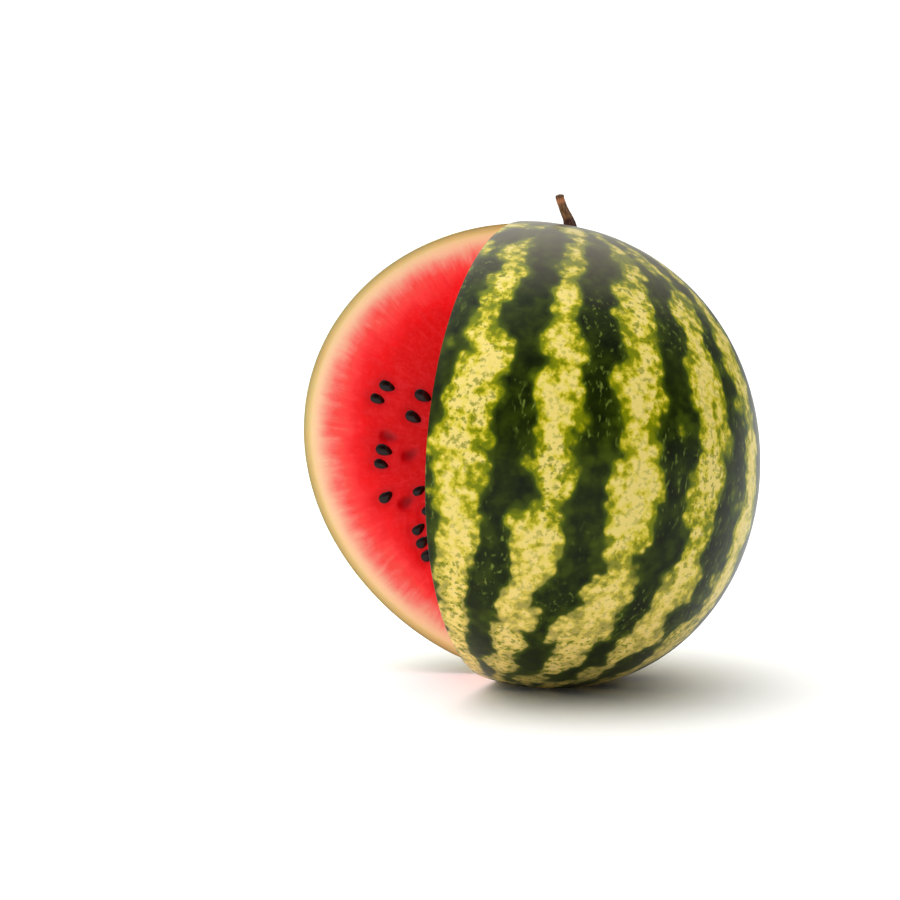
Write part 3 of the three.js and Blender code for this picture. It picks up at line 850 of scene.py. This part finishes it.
flare = add(tree, "ShaderNodeMath", {0: flare}, operation="EXPONENT")
flare = add(tree, "ShaderNodeMapRange", {"Value": flare, "To Min": given["Tip Radius"],
                                         "To Max": given["Root Radius"]})
closing = add(tree, "ShaderNodeMapRange", {"Value": along, "From Min": given["End"], "From Max": 1.0,
                                           "To Min": 0.0, "To Max": 0.94})
closing = add(tree, "ShaderNodeMath", {0: closing, 1: 2.0}, operation="POWER")
closing = add(tree, "ShaderNodeMath", {0: 1.0, 1: closing}, operation="SUBTRACT")
closing = add(tree, "ShaderNodeMath", {0: closing}, operation="SQRT")
ring_size = add(tree, "ShaderNodeMath", {0: flare, 1: closing}, operation="MULTIPLY")
print("line and size:", len(tree.nodes), "nodes")

# %% [markdown]
# The ring has five soft ridges, and after the sweep the bark is pushed in and out by noise that is drawn
# out lengthwise, for the wrinkles. Two attributes, how far along and how far round, are kept, so that
# the finish can draw its fibres the same way.

# %% Stem stub: ridges and wrinkles
ring = add(tree, "GeometryNodeCurvePrimitiveCircle", {"Resolution": 60, "Radius": 1.0})
ring_place = add(tree, "GeometryNodeInputPosition")
ring_axes = add(tree, "ShaderNodeSeparateXYZ", {0: ring_place})
round_line = add(tree, "ShaderNodeMath", {0: ring_axes.outputs["Y"], 1: ring_axes.outputs["X"]},
                 operation="ARCTAN2")
ring = add(tree, "GeometryNodeStoreNamedAttribute", {"Geometry": ring, "Name": "round", "Value": round_line})
ridge = add(tree, "ShaderNodeMath", {0: round_line, 1: given["Ridges"]}, operation="MULTIPLY")
ridge = add(tree, "ShaderNodeMath", {0: ridge}, operation="COSINE")
ridge = add(tree, "ShaderNodeMath", {0: ridge, 1: given["Ridge Share"], 2: 1.0}, operation="MULTIPLY_ADD")
ring_place = add(tree, "ShaderNodeVectorMath", {0: ring_place, "Scale": ridge}, operation="SCALE")
ring = add(tree, "GeometryNodeSetPosition", {"Geometry": ring, "Position": ring_place})
stalk = add(tree, "GeometryNodeCurveToMesh", {"Curve": line, "Profile Curve": ring, "Scale": ring_size,
                                              "Fill Caps": True})
kept_round = add(tree, "GeometryNodeInputNamedAttribute", {"Name": "round"}, data_type="FLOAT")
kept_along = add(tree, "GeometryNodeInputNamedAttribute", {"Name": "along"}, data_type="FLOAT")
fibre_x = add(tree, "ShaderNodeMath", {0: kept_round}, operation="COSINE")
fibre_y = add(tree, "ShaderNodeMath", {0: kept_round}, operation="SINE")
fibre_z = add(tree, "ShaderNodeMath", {0: kept_along, 1: 2.6}, operation="MULTIPLY")
fibre_place = add(tree, "ShaderNodeCombineXYZ", {0: fibre_x, 1: fibre_y, 2: fibre_z})
wrinkle = add(tree, "ShaderNodeTexNoise", {"Vector": fibre_place, "Scale": 2.4, "Detail": 2.0}).outputs["Fac"]
wrinkle = add(tree, "ShaderNodeMath", {0: wrinkle, 1: 0.55}, operation="SUBTRACT")
wrinkle = add(tree, "ShaderNodeMath", {0: wrinkle, 1: given["Wrinkle"]}, operation="MULTIPLY")
outward = add(tree, "GeometryNodeInputNormal")
wrinkle = add(tree, "ShaderNodeVectorMath", {0: outward, "Scale": wrinkle}, operation="SCALE")
stalk = add(tree, "GeometryNodeSetPosition", {"Geometry": stalk, "Offset": wrinkle})
stalk = add(tree, "GeometryNodeRealizeInstances", {"Geometry": stalk})
stalk = add(tree, "GeometryNodeSetShadeSmooth", {"Geometry": stalk})
stalk = add(tree, "GeometryNodeSetMaterial", {"Geometry": stalk, "Material": given["Bark"]})
add(tree, "NodeGroupOutput", {0: stalk})
stem_tree = tree
print("the whole stalk:", len(tree.nodes), "nodes")

# %% [markdown]
# The stalk's outside has dried to a dull brown fibre. It is redder at the root, where it was greenest,
# and a paler ring of torn bark stands just under the broken end.

# %% Dry stalk
stalk_material, tree, output = finish_named("dry_vine_stalk")
along = add(tree, "ShaderNodeAttribute", attribute_name="along").outputs["Fac"]
round_line = add(tree, "ShaderNodeAttribute", attribute_name="round").outputs["Fac"]
fibre_x = add(tree, "ShaderNodeMath", {0: round_line}, operation="COSINE")
fibre_y = add(tree, "ShaderNodeMath", {0: round_line}, operation="SINE")
fibre_place = add(tree, "ShaderNodeCombineXYZ", {0: fibre_x, 1: fibre_y, 2: along})
fibres = add(tree, "ShaderNodeTexNoise", {"Vector": fibre_place, "Scale": 5.0, "Detail": 3.0}).outputs["Fac"]
by_height = add(tree, "ShaderNodeValToRGB", {"Fac": along})
set_stops(by_height, [(0.12, 0x3A1206), (0.36, 0x3A1408), (0.41, 0x5E3C20), (0.75, 0x5A3A20),
                      (0.83, 0xB87448), (0.88, 0xB06A40), (0.93, 0x452410), (1.0, 0x34180C)])
above_root = add(tree, "ShaderNodeMapRange", {"Value": along, "From Min": 0.35, "From Max": 0.42,
                                              "To Min": 0.15, "To Max": 0.7})
streaks = add(tree, "ShaderNodeMapRange", {"Value": fibres, "From Min": 0.45, "From Max": 0.65,
                                           "To Max": above_root})
stalk_colour = add(tree, "ShaderNodeMix", {"Factor": streaks, 6: by_height, 7: colour(0xA67C50)},
                   data_type="RGBA").outputs[2]
bump = add(tree, "ShaderNodeBump", {"Height": fibres, "Distance": 0.5 * MM})
stalk_shader = add(tree, "ShaderNodeBsdfPrincipled", {"Base Color": stalk_colour, "Roughness": 0.75,
                                                      "Normal": bump})
tree.links.new(stalk_shader.outputs[0], output.inputs["Surface"])
grow(stem_stub, stem_tree, {"Root Radius": STEM_ROOT_RADIUS * MM, "Tip Radius": STEM_TIP_RADIUS * MM,
                            "Flare": STEM_FLARE, "Ridges": float(STEM_RIDGES),
                            "Ridge Share": STEM_RIDGE_SHARE, "Wrinkle": STEM_WRINKLE * MM, "End": STEM_END,
                            "Bark": stalk_material})

# %% [markdown]
# The studio is as plain as can be. It starts with a wide floor of matt white board, which also throws
# light up on the lower half of the fruit.

# %% Floor
FLOOR_REACH = 12.0  # metres
corners = [(-1, -1), (1, -1), (1, 1), (-1, 1)]
floor_mesh = bpy.data.meshes.new("pale_floor")
floor_mesh.from_pydata([(x * FLOOR_REACH, y * FLOOR_REACH, 0.0) for x, y in corners], [], [(0, 1, 2, 3)])
floor = bpy.data.objects.new("pale_floor", floor_mesh)
bpy.context.scene.collection.objects.link(floor)
floor_material, tree, output = finish_named("matt_white_board")
floor_shader = add(tree, "ShaderNodeBsdfPrincipled", {"Base Color": colour(0xF4F4F3), "Roughness": 0.7})
tree.links.new(floor_shader.outputs[0], output.inputs["Surface"])
floor_mesh.materials.append(floor_material)
print("floor:", 2 * FLOOR_REACH, "metres across")

# %% [markdown]
# A glossy skin mirrors what is round it, so the sky matters as much for its reflections as for its
# light. It is white and brightest overhead. It is darker behind the camera and on the right, so
# that less of a pale veil lies over the dark stripes. A band where the floor ends is bright all round.
# Each part is given by where it is, from where to where it comes in (as the cosine of the angle from its
# middle), how far it dims what is there, and how bright it is itself.

# %% Sky
SKY_PARTS = [((0.34, -0.94, 0.0), 0.0, 0.6, 0.02, 0.0), ((0.94, 0.2, 0.28), 0.1, 0.9, 0.3, 0.0),
             ((0.0, 1.0, 0.0), 0.92, 0.975, 1.0, 1.3),
             ((-0.85, -0.5, 0.15), 0.75, 0.95, 1.0, 0.9)]
OVERHEAD, LOW_DOWN = 3.1, 0.15  # brightness of the sky
HORIZON = 1.1  # brightness of the narrow band of sky where the floor ends
world = bpy.data.worlds.new("white_studio")
world.use_nodes = True
tree = world.node_tree
tree.nodes.clear()
heading = add(tree, "ShaderNodeTexCoord").outputs["Generated"]
upwards = add(tree, "ShaderNodeSeparateXYZ", {0: heading}).outputs["Z"]
light = add(tree, "ShaderNodeMapRange", {"Value": upwards, "From Min": 0.1, "From Max": 0.9,
                                         "To Min": LOW_DOWN, "To Max": OVERHEAD})
for facing, start, end, dimmed, brightened in SKY_PARTS:
    turned = add(tree, "ShaderNodeVectorMath", {0: heading, 1: facing}, operation="DOT_PRODUCT")
    turned = turned.outputs["Value"]
    dim = add(tree, "ShaderNodeMapRange", {"Value": turned, "From Min": start, "From Max": end, "To Min": 1.0,
                                           "To Max": dimmed})
    brighten = add(tree, "ShaderNodeMapRange", {"Value": turned, "From Min": start, "From Max": end,
                                                "To Max": brightened})
    light = add(tree, "ShaderNodeMath", {0: light, 1: dim}, operation="MULTIPLY")
    light = add(tree, "ShaderNodeMath", {0: light, 1: brighten}, operation="MAXIMUM")
from_level = add(tree, "ShaderNodeMath", {0: upwards}, operation="ABSOLUTE")
horizon = add(tree, "ShaderNodeMapRange", {"Value": from_level, "From Min": 0.03, "From Max": 0.13,
                                           "To Min": HORIZON, "To Max": 0.0})
light = add(tree, "ShaderNodeMath", {0: light, 1: horizon}, operation="MAXIMUM")
sky = add(tree, "ShaderNodeBackground", {"Color": colour(0xFFFFFF), "Strength": light})
world_output = tree.nodes.new("ShaderNodeOutputWorld")
tree.links.new(sky.outputs[0], world_output.inputs["Surface"])
bpy.context.scene.world = world
print("sky:", len(tree.nodes), "nodes")

# %% [markdown]
# Two lamps add the light that gives the fruit its shape: a large softbox above the front left, and very
# wide daylight from overhead. Neither shows in any reflection.

# %% Lamps
softbox_data = bpy.data.lights.new("softbox", "AREA")
softbox_data.shape = "SQUARE"
softbox_data.size = 1.2
softbox_data.energy = 2.6
softbox = bpy.data.objects.new("softbox", softbox_data)
softbox.location = (-0.35, -0.7, 1.3)
softbox.visible_glossy = False
softbox.rotation_euler = (Vector(fruit_centre) * MM - softbox.location).to_track_quat("-Z", "Y").to_euler()
bpy.context.scene.collection.objects.link(softbox)

daylight_data = bpy.data.lights.new("daylight", "SUN")
daylight_data.energy = 1.2
daylight_data.angle = math.radians(130.0)
daylight = bpy.data.objects.new("daylight", daylight_data)
daylight.rotation_euler = (0.0, math.radians(-7.0), 0.0)  # it comes from a little to the left
daylight.visible_glossy = False
bpy.context.scene.collection.objects.link(daylight)
bpy.context.scene.view_settings.view_transform = "Standard"
print("lamps:", softbox_data.energy, "watts and", daylight_data.energy, "watts to the square metre")

# %% [markdown]
# Each piece rides on the part's one body and stands for its solid, which is hidden.

# %% Riding on the frame
for piece, nodes, slot in ((fruit_body, ("fruit",), "fruit"), (seeds, ("fruit",), "seed"),
                           (stem_stub, ("stem",), "stem")):
    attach(piece, "root")
    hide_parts(*nodes)
